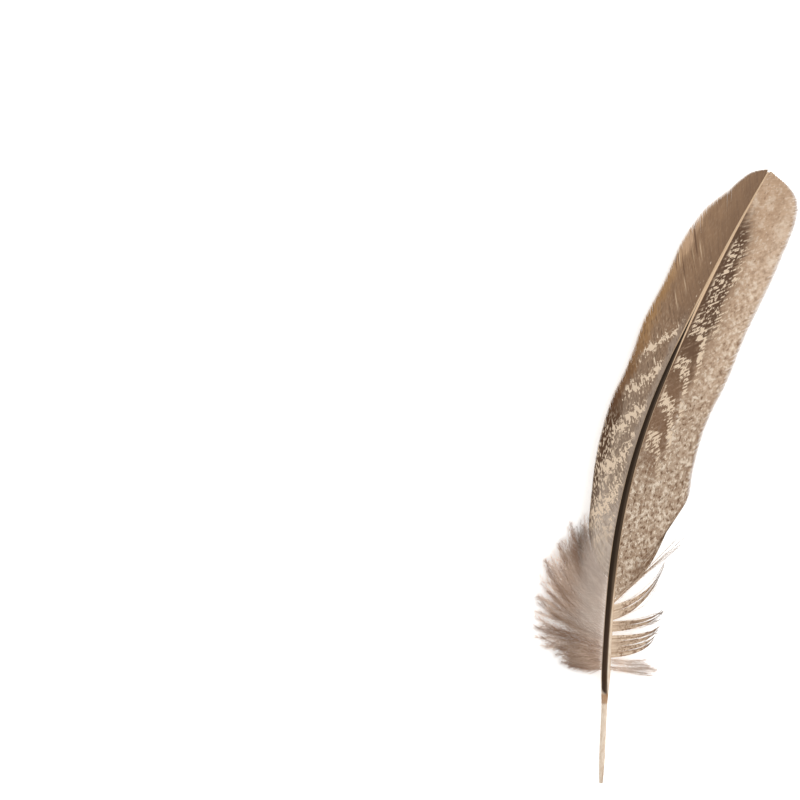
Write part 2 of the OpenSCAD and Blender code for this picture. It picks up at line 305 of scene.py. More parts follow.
def barbs_of(side, rows, width, first, last, curl=1.0, slips=(), spacing=BARB_SPACING, fray=0.007,
             point=0.09, clumps=0):
    """Rings and surface values of the barbs between two roots. A barb narrows over the share point
    of its length, at its end. Fray is how uneven the barbs are in length, direction and height, and
    the barbs of a clump run together at their ends. Slips are places where barbs have come
    unzipped."""
    count = max(3, round((last - first) * VANE_LEN / spacing))
    step = (last - first) / count
    root = (first + step * (np.arange(count) + 0.5))[:, None]
    t = np.linspace(0, 1, RINGS_PER_BARB)[None]
    chance = rng.random((count, 1))
    length = 1 + fray * rng.uniform(-1, 0.6, (count, 1))
    drift = step * (0.12 + 3 * fray) * rng.uniform(-1, 1, (count, 1)) * t**2
    if clumps:
        clump = np.arange(count)[:, None] * clumps // count
        middle = first + (clump + 0.5) * (last - first) / clumps
        drift = drift + (middle - root) * 0.85 * t**1.2
    lift = (0.035 + fray) * rng.uniform(-1, 1, (count, 1)) * t
    taper = np.clip((1 - t) / point, 0, 1) ** 0.7
    half = step / 2 * (1 + LAP) * (END_WIDTH + (1 - END_WIDTH) * taper)
    along = t * length
    sections, places, values = [], [], []
    for across, rise, thick in ((-1, -SHINGLE / 2, 0), (0, RIDGE, KEEL), (1, SHINGLE / 2, 0)):
        roots = np.clip(root + drift + across * half, rows[0][0], rows[-1][0])
        s, n = barb_path(rows, width, roots, along, curl)
        shift = np.zeros_like(s)
        raised = np.zeros_like(s)
        for slip_root, span, amount, height in slips:
            weight = np.where(root >= slip_root, np.clip(1 - (root - slip_root) / span, 0, 1), 0)
            shift = shift + amount * weight**1.5 * t**1.6
            raised = raised + height * weight * t
        z = np.maximum(vane_height(s, n) + ripple(s, n) + lift + raised, TABLE_GAP)
        body = END_BODY + (1 - END_BODY) * (1 - t) ** 0.5
        depth = min(rise, SHINGLE / 2) * body - thick * body
        top = place(side, s + shift, n, z + rise * body + EDGE_T / 2)
        bottom = place(side, s + shift, n, z + depth - EDGE_T / 2)
        sections.append((top, bottom))
        places.append([np.stack([s, n, along + flip + 0 * s], -1) for flip in (0.0, UNDER)])
        values.append(np.stack([root * VANE_LEN + 0 * s, chance + 0 * s, across + 0 * s], -1))
    order = ((0, 0), (1, 0), (2, 0), (2, 1), (1, 1), (0, 1))
    rings = np.stack([sections[i][j] for i, j in order], 2)
    place_values = np.stack([places[i][j] for i, j in order], 2)
    barb_values = np.stack([values[i] for i, _ in order], 2)
    return rings, place_values, barb_values


def barbules_on(lines, count, size):
    """Fine barbules along both sides of loose barbs, which get shorter and closer together towards
    the barbs' ends. Gives their rings, and where each leaves its barb: the barb's row, and how many
    rings from the barb's root."""
    barbs, spans = lines.shape[0], lines.shape[1] - 1
    where = ((np.arange(count) + rng.random((barbs, count))) / count) ** 0.75 * (spans - 0.1)
    k = where.astype(int)
    part = (where - k)[..., None]
    row = np.arange(barbs)[:, None]
    base = lines[row, k] * (1 - part) + lines[row, k + 1] * part
    ahead = lines[row, k + 1] - lines[row, k]
    ahead /= np.linalg.norm(ahead, axis=-1, keepdims=True)
    by_turns = np.where(np.arange(count) % 2, 1, -1)[None, :, None]
    outwards = np.cross(ahead, (0.0, 0.0, 1.0)) * by_turns
    angle = rng.uniform(0.2, 1.1, (barbs, count, 1))
    rise = np.array((0.0, 0.0, 1.0)) * rng.uniform(-0.25, 0.3, (barbs, count, 1))
    start = np.cos(angle) * ahead + np.sin(angle) * outwards + rise
    reach = size * rng.uniform(0.5, 1.25, (barbs, count, 1)) * (1.1 - 0.62 * where[..., None] / spans)
    steps = np.array(BARBULE_STEPS)[None, None, :, None]
    bend = steps**2 * 0.25 * (ahead - start)[:, :, None]
    middles = base[:, :, None] + reach[:, :, None] * (steps * start[:, :, None] + bend)
    middles[..., 2] = np.maximum(middles[..., 2], FLOOR_GAP)
    middles = middles.reshape(-1, len(BARBULE_STEPS), 3)
    radii = np.broadcast_to(BARBULE_R * (1 - 0.75 * steps[0, :, :, 0]), middles.shape[:2])
    return strands(middles, radii), row, where


def fluff_of(side, rows, width, first, last, rami, barbules, size, curl=1.0, sway=1.0, thick=0.07,
             bunch=0.0, droop=0.0, short=0.0, light=0.0):
    """Rings and surface values of loose downy barbs, and of the barbules along each of them.
    Rami is the number of barbs, and each has as many barbules as barbules says, of about the length
    size. The barbs wander by sway times a few mm and are thick in radius at their roots. The share
    of the way that their ends come together is bunch, and droop is how far their ends hang back
    towards the quill. The barbs nearest the quill lose up to about the share short of their length,
    and light is the least value of chance, which makes a barb pale."""
    root = (first + (last - first) * (np.arange(rami) + rng.random(rami)) / rami)[:, None]
    t = np.linspace(0, 1, FLUFF_RINGS)[None]
    chance = light + (1 - light) * rng.random((rami, 1))
    nearest = np.clip(1.5 - 2.5 * (root - first) / (last - first), 0, 1)
    length = rng.uniform(0.68, 1.02, (rami, 1))
    length = length * (1 - short * nearest * rng.uniform(0.55, 1.2, (rami, 1)))
    middle = (first + last) / 2
    s, n = barb_path(rows, width, root + (middle - root) * bunch * t, t * length, curl)
    free = 1 - nearest * min(1.0, short * 1.6)
    s = s + (sway * 2.4 * rng.uniform(-1, 0.8, (rami, 1)) - droop) * free * t**2
    for wave, amount in ((0.7, 1.2), (1.9, 0.3), (4.3, 0.05)):
        phase = rng.uniform(0, 2 * np.pi, (rami, 1))
        s = s + sway * amount * free * (np.sin(2 * np.pi * wave * t + phase) - np.sin(phase)) * t
    lift = rng.uniform(-0.6, 0.75, (rami, 1)) * np.minimum(1, 2.5 * t)
    lines = place(side, s, n, np.maximum(vane_height(s, n) + lift, TABLE_GAP))
    spine = strands(lines, thick * (1 - 0.8 * t) + 0 * s)
    spine_place = np.stack([s, n, t * length], -1)[:, :, None]
    spine_barb = np.stack([root * VANE_LEN + 0 * s, chance + 0 * s, 0 * s], -1)[:, :, None]
    fine, row, where = barbules_on(lines, barbules, size)
    k = where.astype(int)
    fine_place = np.stack([s[row, k], n[row, k], where / (FLUFF_RINGS - 1)], -1)
    fine_barb = np.stack([root * VANE_LEN + 0 * where, chance + 0 * where, rng.random(where.shape)], -1)
    return [
        (spine, spine_place + 0 * spine, spine_barb + 0 * spine),
        (fine, fine_place.reshape(-1, 1, 1, 3) + 0 * fine, fine_barb.reshape(-1, 1, 1, 3) + 0 * fine),
    ]


# ---------------------------------------------------------------- shaft and quill

SHAFT_SIDES = 40         # sides of the shaft and of the quill
SHAFT_RINGS = 260
QUILL_RINGS = 210
ROOT_POWER = 1.6         # how fully the quill's root rounds out to its barrel
PIT_DEPTH = 0.2          # the pit under the quill's top, where the pore is
PIT_HALF_LEN = 0.9
PIT_HALF_WIDTH = 0.35


def shaft_rings(stations, share):
    """Rings of the shaft's grooved section at a share of its size, with their place values."""
    s = stations[:, None]
    turn = 2 * np.pi * np.arange(SHAFT_SIDES)[None] / SHAFT_SIDES
    deep = GROOVE_DEPTH * np.minimum(1, s / GROOVE_START)
    notch = 1 - deep * np.maximum(0, -np.sin(turn)) ** GROOVE_POWER
    radius = half_width(s) * share * notch
    slope = np.arctan(math.tan(math.radians(RISE)) - 2 * SAG * s)
    across, up = radius * np.cos(turn), radius * np.sin(turn)
    middle = place(TRAILING, s, 0 * s, shaft_height(s))
    ahead = np.stack([np.sin(heading(s)), np.cos(heading(s)), 0 * s], -1)
    right = np.stack([np.cos(heading(s)), -np.sin(heading(s)), 0 * s], -1)
    tilt = np.sin(slope)[..., None]
    raised = np.stack([0 * s, 0 * s, np.cos(slope)], -1) - ahead * tilt
    rings = middle + across[..., None] * right + up[..., None] * raised
    values = np.stack([s + 0 * turn, np.cos(turn) + 0 * s, np.sin(turn) + 0 * s], -1)
    return rings[None], values[None]


def shaft():
    """Horny shell of the shaft: from the inner end of its bore back to the quill and out to its tip."""
    inner = np.linspace(PITH_END * VANE_LEN, 0.0, SHAFT_RINGS)
    outer = np.linspace(0.0, VANE_LEN, SHAFT_RINGS)
    inside, inside_values = shaft_rings(inner, CORTEX_SHARE)
    outside, outside_values = shaft_rings(outer, 1.0)
    rings = np.concatenate([inside, outside], 1)
    values = np.concatenate([inside_values, outside_values], 1)
    piece = closed_mesh("shaft", [(rings, values, 0 * values)], horn_material("shaft_horn"))
    show(piece, "shaft_horn", "shaft_cortex")


def smoothly(share):
    """A share from 0 to 1 that starts and ends without a corner."""
    return share * share * (3 - 2 * share)


def quill_radius(z):
    """Outline of the quill: a tapered root, a straight barrel and a flared top."""
    root = TIP_R + (BARREL_R - TIP_R) * (1 - (1 - np.clip(z / BARREL_START, 0, 1)) ** ROOT_POWER)
    flare_start = BARREL_START + BARREL_LEN
    axis_len = QUILL_LEN / math.cos(math.radians(RISE))
    flare = smoothly(np.clip((z - flare_start) / (axis_len - flare_start), 0, 1))
    return root + (SHAFT_R - BARREL_R) * flare


def quill():
    """Hollow quill, open at both ends, with a small pit below where its top meets the shaft."""
    axis_len = QUILL_LEN / math.cos(math.radians(RISE))
    z = np.linspace(0, axis_len, QUILL_RINGS)[:, None]
    turn = 2 * np.pi * np.arange(SHAFT_SIDES)[None] / SHAFT_SIDES
    s = z * math.cos(math.radians(RISE)) - QUILL_LEN
    pit_z = axis_len - 2 * SHAFT_R
    round_pit = (turn - 1.5 * np.pi) * quill_radius(z)
    from_pit = np.hypot((z - pit_z) / PIT_HALF_LEN, round_pit / PIT_HALF_WIDTH)
    pit = PIT_DEPTH * np.clip(1.3 - from_pit, 0, 1)
    wear = 0.012 * np.sin(2.1 * z + 3 * np.cos(turn)) + 0.01 * np.sin(5.3 * z - 2 * np.sin(turn))
    wear = wear * np.clip(z / 2, 0, 1) * np.clip((axis_len - z) / 4, 0, 1)
    shells = []
    for thin in (0.0, QUILL_WALL):
        radius = quill_radius(z) - thin - pit + wear
        across, up = radius * np.cos(turn), radius * np.sin(turn)
        tilt = math.radians(RISE)
        middle = place(TRAILING, s, 0 * s, shaft_height(s))
        side_way = np.stack([1 + 0 * s, 0 * s, 0 * s], -1)
        up_way = np.stack([0 * s, 0 * s - math.sin(tilt), 0 * s + math.cos(tilt)], -1)
        shells.append(middle + across[..., None] * side_way + up[..., None] * up_way)
    values = np.stack([s + 0 * turn, np.cos(turn) + 0 * s, np.sin(turn) + 0 * s], -1)
    marks = np.stack([pit, 0 * pit, 0 * pit], -1)
    rings = np.concatenate([shells[0], shells[1][::-1]])[None]
    values = np.concatenate([values, values[::-1]])[None]
    marks = np.concatenate([marks, marks[::-1]])[None]
    piece = closed_mesh("quill", [(rings, values, marks)], horn_material("quill_horn"), looped=True)
    show(piece, "quill_horn", "quill_tube")


# ---------------------------------------------------------------- materials

def linear(code):
    """Linear colour of an sRGB colour code such as "#c8a07a"."""
    channels = [int(code[i:i + 2], 16) / 255 for i in (1, 3, 5)]
    return [c / 12.92 if c <= 0.04045 else ((c + 0.055) / 1.055) ** 2.4 for c in channels] + [1.0]


class Value:
    """One output of a node graph, which can stand in a formula."""

    def __init__(self, graph, socket):
        self.graph, self.socket = graph, socket

    def __add__(self, other):
        return self.graph.math("ADD", self, other)

    def __sub__(self, other):
        return self.graph.math("SUBTRACT", self, other)

    def __rsub__(self, other):
        return self.graph.math("SUBTRACT", other, self)

    def __mul__(self, other):
        return self.graph.math("MULTIPLY", self, other)

    __radd__ = __add__


class Graph:
    """A material's node graph, written as formulas."""

    def __init__(self, name):
        self.material = bpy.data.materials.new(name)
        self.material.use_nodes = True
        self.tree = self.material.node_tree
        self.shader = self.tree.nodes["Principled BSDF"]

    def node(self, kind, *inputs, **settings):
        """New node with some of its settings, and its first inputs in order."""
        made = self.tree.nodes.new(kind)
        for key, value in settings.items():
            setattr(made, key, value)
        for i, value in enumerate(inputs):
            self.put(made.inputs[i], value)
        return made

    def put(self, socket, value):
        """Links a Value to a socket, or sets the socket to a constant."""
        if isinstance(value, Value):
            self.tree.links.new(value.socket, socket)
        elif value is not None:
            socket.default_value = value

    def math(self, operation, a, b=None):
        return Value(self, self.node("ShaderNodeMath", a, b, operation=operation).outputs[0])

    def largest(self, a, b):
        return self.math("MAXIMUM", a, b)

    def step(self, value, low, high):
        """0 below low, 1 above high, and smooth between them; it falls where high is below low."""
        if high < low:
            return 1 - self.step(value, high, low)
        made = self.node("ShaderNodeMapRange", value, low, high, 0.0, 1.0,
                         interpolation_type="SMOOTHSTEP")
        return Value(self, made.outputs[0])

    def band(self, value, low, high, soft):
        """1 between low and high, and 0 outside."""
        return self.step(value, low - soft, low + soft) * self.step(value, high + soft, high - soft)

    def values(self, name):
        """The three values of a mesh attribute."""
        attribute = self.node("ShaderNodeAttribute", attribute_name=name)
        parts = self.node("ShaderNodeSeparateXYZ")
        self.tree.links.new(attribute.outputs["Vector"], parts.inputs[0])
        return [Value(self, parts.outputs[i]) for i in range(3)]

    def noise(self, x, y, z=0.0, detail=2.0, rough=0.55):
        """Smooth noise from about -1 to 1, whose features are about one unit across."""
        where = self.node("ShaderNodeCombineXYZ", x, y, z)
        made = self.node("ShaderNodeTexNoise")
        self.tree.links.new(where.outputs[0], made.inputs["Vector"])
        made.inputs["Scale"].default_value = 1.0
        made.inputs["Detail"].default_value = detail
        made.inputs["Roughness"].default_value = rough
        return (Value(self, made.outputs["Fac"]) - 0.5) * 3.2

    def mix(self, factor, a, b):
        """Colour between a and b, which are colour codes or colours."""
        made = self.node("ShaderNodeMix", data_type="RGBA")
        self.put(made.inputs["Factor"], factor)
        self.put(made.inputs[6], linear(a) if isinstance(a, str) else a)
        self.put(made.inputs[7], linear(b) if isinstance(b, str) else b)
        return Value(self, made.outputs[2])

    def finish(self, colour, roughness, bump=None, bump_depth=0.0, **sockets):
        """Sets the shader: its colour, its roughness, a bump with its depth in m, and constants."""
        self.put(self.shader.inputs["Base Color"], colour)
        self.put(self.shader.inputs["Roughness"], roughness)
        if bump is not None:
            made = self.node("ShaderNodeBump")
            made.inputs["Distance"].default_value = bump_depth
            self.put(made.inputs["Height"], bump)
            self.tree.links.new(made.outputs[0], self.shader.inputs["Normal"])
        for key, value in sockets.items():
            self.shader.inputs[key.replace("_", " ")].default_value = value
        return self.material


def barb_relief(g, root, n, across):
    """Height of the fine barbules that lie slantwise on both sides of a barb's ridge."""
    barbules = g.math("SINE", n * 30.0 + g.math("ABSOLUTE", across) * 5.0)
    return barbules * 0.4 + g.noise(root * 3.0, n * 2.0) * 0.5


def barb_surface(g):
    """Values of a barb's surface: s, n, share of its length, 1 on the underside, root, chance, across."""
    s, n, t = g.values("place")
    root, chance, across = g.values("barb")
    under = g.step(t, 1.2, 1.8)
    return s, n, t - under * UNDER, under, root, chance, across


def seam_shade(g, colour, across, share, shade):
    """Painted shade where barbs meet: darkens their edges."""
    return g.mix(g.step(g.math("ABSOLUTE", across), 0.45, 1.0) * share, colour, shade)


def finish_barbs(g, colour, root, n, across):
    """Material of barbs, with their fine relief and dull gloss."""
    relief = barb_relief(g, root, n, across)
    return g.finish(colour, 0.62, relief, 0.00002, Specular_IOR_Level=0.15)


def leading_ground(g, s, n, jag, blur, streak, hatch):
    """Grey-brown, pale at the foot. Beside the shaft it has a lilac-grey stripe in its lower part
    and is darker in its upper part."""
    colour = g.mix(g.step(s + blur * 5.0, 60.0, 118.0), "#92806f", "#927459")
    colour = g.mix(g.step(streak, -0.4, 0.7) * 0.45, colour, "#6a5140")
    colour = g.mix(g.step(hatch, 0.0, 0.7) * (0.62 - g.step(s, 96.0, 116.0) * 0.42), colour, "#bfa68c")
    colour = g.mix(g.step(n + blur * 1.5, 7.0, 1.5) * g.step(s, 60.0, 110.0) * 0.42, colour, "#69513f")
    stripe = g.step(n + blur * 0.6 + jag * 0.2, 3.0, 1.4) * g.step(s, 112.0, 96.0)
    colour = g.mix(stripe * 0.62, colour, "#a59587")
    foot = g.step(s + blur * 3.0 - n * 0.8, 56.0, 38.0)
    pale = g.mix(g.step(streak + hatch * 0.6, -0.6, 0.8), "#cabbad", "#a39387")
    return g.mix(foot * 0.78, colour, pale)


def golden_margin(g, colour, s, n, jag, blur, streak, hatch):
    """Golden margin over a colour, dark brown at its lower end."""
    margin = g.step(n + blur * 1.2 + jag * 0.35 + streak * 0.5 + g.step(s, 112.0, 96.0), 8.5, 11.0)
    gold = g.mix(g.step(s, 74.0, 106.0), "#5f3b20", "#9f7a52")
    gold = g.mix(g.step(s, 112.0, 130.0), gold, "#c3a284")
    gold = g.mix(g.step(streak + hatch * 0.5, 0.0, 0.9) * 0.5, gold, "#c9a985")
    return g.mix(margin * g.step(s + jag, 58.0, 68.0) * g.step(s, 150.0, 136.0) * 0.9, colour, gold)


def cream_bars(g, s, n, root, jag, blur):
    """1 on bars that slant outwards and down from the shaft, each with a fainter loop beside it."""
    wave = g.noise(s * 0.7, n * 0.7, 4.0)
    slant = s + n * 1.5 + blur * 3.4 + jag * 0.9 + wave * 2.6
    turn = g.math("PINGPONG", slant - 69.5, 6.1)
    lower = g.step(s + blur * 3.0, 84.0, 66.0)
    grain = g.noise(root * 1.05, n * 0.45, 3.0, detail=2.0)
    wide = 1.1 + grain * 1.3 + blur * 0.5 + lower * 0.15
    bars = g.step(turn - wide, 0.4, -0.3)
    loop = g.step(g.math("ABSOLUTE", turn - 3.3), 1.0, 0.3) * g.step(grain + lower * 0.25, 0.0, 0.35)
    bars = g.largest(bars, loop) * g.band(n + jag * 0.4, 1.9, 8.8, 0.5)
    return bars * g.step(s + n * 1.5, 112.0, 108.0) * g.step(s, 34.0, 46.0)


def leading_vane_material():
    """Narrow vane: grey-brown with a golden margin, cream bars lower down and speckles at its foot."""
    g = Graph("leading_vane")
    s, n, t, under, root, chance, across = barb_surface(g)
    jag = (chance - 0.5) * 2.6
    blur = g.noise(s * 0.2, n * 0.28, detail=3.0)
    streak = g.noise(root * 1.5, n * 0.2)
    hatch = g.noise(root * 1.3, n * 1.8, 3.0, detail=2.0)
    colour = leading_ground(g, s, n, jag, blur, streak, hatch)
    colour = golden_margin(g, colour, s, n, jag, blur, streak, hatch)
    # painted shade and painted light in creases where barbs have come unzipped: dark lines and light lines
    crease_shading = g.noise(root * 2.2, n * 0.1, 11.0, detail=1.0)
    crease_zone = g.band(root + blur * 0.8, 102.0, 120.0, 2.0) * g.step(n, 3.5, 6.5)
    # painted shade in the creases
    colour = g.mix(crease_zone * g.step(crease_shading, 0.1, 0.5) * 0.7, colour, "#54392a")
    # painted light beside them
    colour = g.mix(crease_zone * g.step(crease_shading, -0.35, -0.7) * 0.7, colour, "#d3b99c")
    # dark outer zone of the lower part
    outer = g.step(n + blur * 0.8 + jag * 0.2, 6.4, 8.8) * g.step(s, 84.0, 70.0) * g.step(s, 27.0, 36.0)
    colour = g.mix(outer * 0.9, colour, "#4f3623")
    # dots on the dark outer zone, strokes along the barbs lower down, thin flecks beside the shaft
    speck = g.noise(root * 0.95, n * 0.8 + jag * 0.3, 7.0, detail=3.0)
    fine = g.noise(root * 1.8, (n + jag) * 1.9, 2.0, detail=1.0)
    dots = g.step(speck * 0.6 + fine, 0.1, 0.4) * g.step(n, 5.4, 6.8) * g.step(s, 78.0, 66.0)
    strokes = g.step(speck + fine * 0.3, 0.1, 0.5) * g.step(s, 64.0, 54.0) * g.step(n, 1.8, 3.6) * 0.8
    thin = g.step(fine + speck * 0.4, 0.55, 0.85) * g.band(s, 107.0, 126.0, 2.0) * g.band(n, 1.0, 2.8, 0.4)
    bars = cream_bars(g, s, n, root, jag, blur)
    cream = g.largest(g.largest(bars, dots), g.largest(strokes, thin))
    colour = g.mix(cream * g.step(s, 20.0, 44.0) * 0.95, colour, "#e0cab1")
    # dark flecks between the cream ones
    shade = g.step(cream, 0.6, 0.1) * g.step(s, 116.0, 104.0) * g.step(speck - fine * 0.5, 0.1, 0.7)
    colour = g.mix(shade * g.step(s, 30.0, 50.0) * 0.5, colour, "#4d3a2c")
    # painted shade where barbs meet, a golden end, and the pale underside
    colour = seam_shade(g, colour, across, 0.38, "#463527")
    colour = g.mix(g.step(t, 0.95, 1.0) * 0.7, colour, "#b98d59")
    colour = g.mix(under * 0.5, colour, "#c9bcae")
    return finish_barbs(g, colour, root, n, across)


def trailing_ground(g, s, n, blur, cloud, streak):
    """Sand-beige, lighter outwards, with mottling that is coarser and softer near the tip."""
    patch = g.noise(s * 0.22, n * 0.3, 14.0)
    high = g.step(s, 60.0, 140.0)
    colour = g.mix(high, "#b29b85", "#bc9e83")
    colour = g.mix(g.step(n + blur * 2.0, 6.0, 16.0) * high * 0.8, colour, "#d6bda5")
    colour = g.mix(g.step(streak, -0.5, 0.8) * 0.3, colour, "#8c7057")
    far = g.step(s, 118.0, 146.0)
    mottle = cloud * (1.0 - far * 0.35) + patch * (0.55 + far * 0.4)
    colour = g.mix(g.step(mottle, 0.05, 0.7) * (0.68 - high * 0.1 - far * 0.36), colour, "#7f6148")
    return g.mix(g.step(mottle, 0.05, -0.7) * (0.72 - far * 0.4), colour, "#ebdcc9")


def speckled(g, colour, speck, fine, cloud, amount):
    """A colour under fine brown stipple and light specks."""
    spots = g.step(speck * 0.9 + fine * 0.6 + cloud * 0.5 + amount * 0.25, 0.35, 0.85)
    colour = g.mix(spots * (0.45 + amount * 0.35), colour, "#5f432c")
    light = g.step(speck * 0.9 - fine * 0.6 - cloud * 0.45, 0.2, 0.7)
    return g.mix(light * (0.40 + amount * 0.42), colour, "#eadac5")


def trailing_vane_material():
    """Broad vane: mottled sand-beige, with a dark inner zone that carries cream scallops."""
    g = Graph("trailing_vane")
    s, n, t, under, root, chance, across = barb_surface(g)
    jag = (chance - 0.5) * 3.0
    blur = g.noise(s * 0.18, n * 0.22, detail=3.0)
    cloud = g.noise(s * 0.8 + chance * 0.3, n * 0.85, 8.0, detail=3.0, rough=0.6)
    streak = g.noise(root * 1.5, n * 0.25, 5.0)
    speck = g.noise(root * 1.2, n * 1.5 + jag * 0.3, 4.0, detail=3.0)
    fine = g.noise(root * 1.7, (n + jag) * 2.3, 9.0, detail=1.0)
    # 1 at the foot, where the specks are strongest, and 0 near the tip
    amount = g.step(s, 150.0, 50.0)
    colour = trailing_ground(g, s, n, blur, cloud, streak)
    colour = speckled(g, colour, speck, fine, cloud, amount)
    # dark inner zone with a ragged edge, and a taupe skirt beside it
    edge = 7.0 + blur * 1.3 + (chance - 0.5) * 1.6 - g.step(s, 112.0, 138.0) * 2.5
    skirt = g.step(n - edge + blur, 3.6, 0.8) * g.step(s, 80.0, 94.0) * g.step(s + n, 152.0, 136.0)
    colour = g.mix(skirt * 0.78, colour, "#9b8068")
    inner = g.step(n - edge, 1.4, -1.0) * g.step(s + n * 0.5 + jag, 56.0, 74.0)
    inner = inner * g.step(s + n * 1.1 + jag, 148.0, 139.0)
    dense = g.step(s, 102.0, 112.0) * g.step(n, 1.3, 2.4)
    ground = g.mix(g.step(s + blur * 3.0, 82.0, 110.0), "#73563f", "#472d1b")
    ground = g.mix(g.step(streak + speck * 0.6, 0.0, 0.8) * (0.5 - dense * 0.35), ground, "#a98e75")
    ground = g.mix(g.step(cloud + fine * 0.3, 0.1, 0.7) * 0.5, ground, "#5d4531")
    colour = g.mix(inner * 0.88, colour, ground)
    # cream scallops: nearly across the vane first, then along the zone's edge
    beyond = g.largest(n - 5.4, 0.0)
    wave = g.noise(s * 0.7, n * 0.7, 2.0)
    slant = s + n * 0.45 + beyond * 2.8 + jag * 0.6 + blur * 2.2 + wave * 1.2
    turn = g.math("PINGPONG", slant - 71.5, 6.0)
    grain = g.noise(root * 1.2, n * 0.5, 1.0, detail=2.0)
    cluster = g.largest(g.step(turn - grain * 0.8, 3.3, 2.1), dense)
    zone = g.step(n - edge, 2.2, 0.9) * g.step(s + n * 0.5 + jag, 60.0, 70.0)
    zone = zone * g.step(s + n * 1.1 + jag, 146.0, 136.0) * g.step(n, 0.9, 1.8)
    creams = g.step(grain + fine * 0.45 + cloud * 0.2 + 0.2 - dense * 0.24, 0.02, 0.25) * cluster * zone
    colour = g.mix(creams * 0.93, colour, "#e0cab0")
    # darker patches at the foot and along the outer margin
    foot = g.step(s - root, 1.0, 7.0) * g.step(root + blur * 1.5 + cloud, 34.0, 26.0)
    colour = g.mix(foot * g.step(streak + speck * 0.7, -0.5, 0.3) * 0.78, colour, "#63442a")
    colour = g.mix(g.step(t, 0.8, 0.98) * g.step(cloud, -0.4, 0.5) * amount * 0.6, colour, "#6a472b")
    # painted shade where barbs meet, a brown edge, and the pale underside
    colour = seam_shade(g, colour, across, 0.32, "#5d4633")
    colour = g.mix(g.step(t, 0.93, 0.99) * 0.85, colour, "#75512f")
    colour = g.mix(under * 0.5, colour, "#d6c9ba")
    return finish_barbs(g, colour, root, n, across)


def tuft_material():
    """Loose tufts: sand-beige barbs, mottled brown, with dark ends."""
    g = Graph("barb_tufts")
    _, n, t, under, root, chance, across = barb_surface(g)
    grain = g.noise(root * 1.6, n * 0.8, 2.0, detail=3.0)
    fine = g.noise(root * 3.0, n * 2.4, 6.0)
    colour = g.mix(chance, "#b0937a", "#e2ccb4")
    colour = g.mix(g.step(grain + fine * 0.8, -0.15, 0.35) * g.step(n, 1.5, 5.0) * 0.8, colour, "#734f33")
    colour = g.mix(g.step(t + grain * 0.2, 0.45, 0.9) * g.step(chance, 0.15, 0.5) * 0.85, colour, "#5a3c26")
    # painted shade where barbs meet
    colour = seam_shade(g, colour, across, 0.3, "#604531")
    colour = g.mix(under * 0.4, colour, "#d6c9ba")
    return finish_barbs(g, colour, root, n, across)


def down_material():
    """Grey-brown down: pale beside the shaft, dusky half way out, with dark ends at its top."""
    g = Graph("down")
    s, n, t = g.values("place")
    root, chance, pick = g.values("barb")
    blur = g.noise(s * 0.3, n * 0.25, 4.0, detail=3.0)
    colour = g.mix(g.step(chance + (pick - 0.5) * 0.8 + blur * 0.3, 0.05, 1.0), "#92715c", "#e6cdb8")
    colour = g.mix(g.step(n + blur * 2.0, 12.0, 5.0) * g.step(root, 6.0, 13.0) * 0.62, colour, "#e2d6cb")
    dusk = g.step(n + blur * 3.0, 4.0, 9.0) * g.step(n + blur * 3.0, 19.0, 12.0) * g.step(root, 15.0, 7.0)
    colour = g.mix(dusk * 0.38, colour, "#6a5040")
    spikes = g.step(root, 17.0, 24.0) * g.step(t, 0.5, 0.85) * g.step(chance, 0.25, 0.55)
    colour = g.mix(spikes * 0.9, colour, "#442f21")
    return g.finish(colour, 0.8, g.noise(s * 6.0, n * 6.0), 0.00001, Specular_IOR_Level=0.1)


def horn_material(name):
    """Horn of the shaft and the quill: dark brown back, pale flanks and underside, pale far end
    and pale quill, with fine lengthwise fibres, and a painted highlight on the back's right side."""
    g = Graph(name)
    s, u, up = g.values("place")
    pit, _, _ = g.values("barb")
    fibre = g.noise(u * 5.0, up * 5.0, s * 0.12, detail=3.0)
    blotch = g.noise(u * 1.2, up * 1.2, s * 0.5, detail=3.0)
    tan = g.mix(g.step(fibre, -0.8, 0.9), "#c4a17d", "#e6cdb0")
    pale = g.mix(g.step(blotch + fibre * 0.4, -0.8, 0.9), "#d2bca5", "#e9dac9")
    colour = g.mix(g.step(s + fibre * 3.0, 40.0, -4.0), tan, pale)
    # the dark back is wide up the shaft, thins out towards the tip, and near the quill leaves the right
    # side of the shaft pale, partly the horn's own colour and partly a painted highlight from the right
    right = 0.80 - g.step(s, 34.0, 10.0) * g.step(s, -9.0, 0.0) * 0.5
    left = -0.86
    back = g.step(u - right + fibre * 0.06, 0.16, -0.16) * g.step(u - left + fibre * 0.04, -0.06, 0.06)
    thin = g.step(s + fibre * 2.0, 119.0, 80.0)
    back = back * g.step(g.math("ABSOLUTE", u + 0.1) - thin * 1.1, 0.12, -0.12) * g.step(up, -0.1, 0.2)
    back = back * g.step(s + fibre * 0.7 + blotch * 0.5 + u, -7.4, -5.6)
    dark = g.mix(g.step(s, 30.0, 2.0), "#140802", "#2f1b0c")
    # painted highlight: the right side of the dark back is lighter brown along the shaft, most near the
    # quill
    right_highlight = g.step(u + fibre * 0.15, -0.15, 0.5) * (g.step(s, 38.0, 16.0) * 0.32 + 0.16)
    dark = g.mix(right_highlight, dark, "#8b745f")
    colour = g.mix(back * 0.97, colour, dark)
    # amber sheath end and a stained tip
    amber = g.band(s + fibre * 0.4 + blotch * 0.4, -9.2, -6.4, 0.5)
    colour = g.mix(amber * 0.75, colour, "#9b7048")
    stain = g.step(s + blotch * 1.5, -26.0, -31.5) * g.step(u + blotch * 0.6, -0.2, 0.5)
    colour = g.mix(stain * 0.5, colour, "#8d6d50")
    colour = g.mix(g.step(pit, 0.02, 0.14) * 0.8, colour, "#4a3425")
    shine = 0.34 + fibre * 0.07
    return g.finish(colour, shine, fibre + blotch * 0.5, 0.00003, Specular_IOR_Level=0.045)


